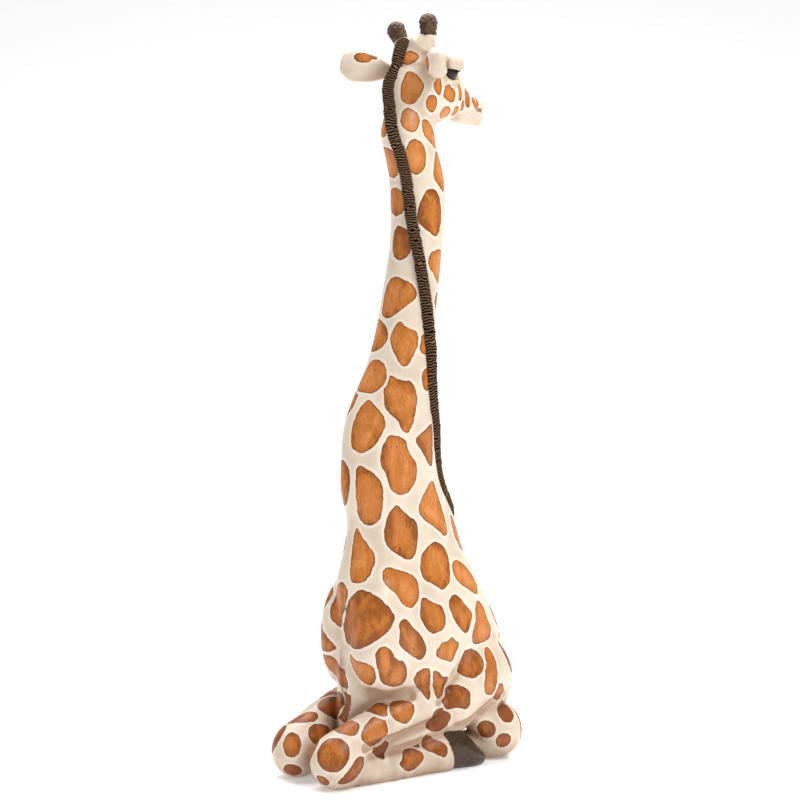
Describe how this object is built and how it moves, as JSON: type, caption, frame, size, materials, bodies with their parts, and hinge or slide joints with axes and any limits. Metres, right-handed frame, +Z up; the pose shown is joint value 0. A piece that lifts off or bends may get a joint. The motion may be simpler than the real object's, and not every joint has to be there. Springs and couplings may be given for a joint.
{
  "type": "giraffe statue",
  "caption": "Tall kneeling giraffe figure that looks back over its rump: a hollow painted casting with horns, mane and hooves, weighted and felted to stand by itself.",
  "frame": {"origin": "on the ground plane at the felt's underside, on the body's plane of symmetry, under the chest's rear", "axes": "+Z up; -Y the way the chest faces; +X the body's left side; the head looks back along +Y"},
  "size_m": [0.2072, 0.3739, 1.0617],
  "materials": {
    "painted_cast": "satin",
    "horn_paint": "matt",
    "mane_paint": "matt",
    "hoof_paint": "gloss",
    "eye_gloss": "gloss",
    "plywood": "raw",
    "felt": "matt",
    "steel": "zinc plated",
    "brass": "turned",
    "plaster_weight": "rough",
    "dowel_wood": "raw"
  },
  "bodies": {
    "root": {"torso_shell": "painted_cast", "neck_shell": "painted_cast", "head": "painted_cast", "left_ear": "painted_cast", "right_ear": "painted_cast", "left_horn": "horn_paint", "right_horn": "horn_paint", "left_eye": "eye_gloss", "right_eye": "eye_gloss", "mane": "mane_paint", "front_left_leg": "painted_cast", "front_right_leg": "painted_cast", "hind_left_leg": "painted_cast", "hind_right_leg": "painted_cast", "front_left_hoof": "hoof_paint", "front_right_hoof": "hoof_paint", "hind_left_hoof": "hoof_paint", "hind_right_hoof": "hoof_paint", "tail": "painted_cast", "tail_tuft": "mane_paint", "base_plate": "plywood", "base_felt": "felt", "base_weight": "plaster_weight", "neck_rod": "steel", "rod_nut": "steel", "rod_washer": "steel", "rod_insert": "brass", "neck_sleeve": "plywood", "head_sleeve": "plywood", "leg_dowels": "dowel_wood", "ear_pegs": "dowel_wood", "horn_pegs": "dowel_wood"}
  },
  "joints": []
}
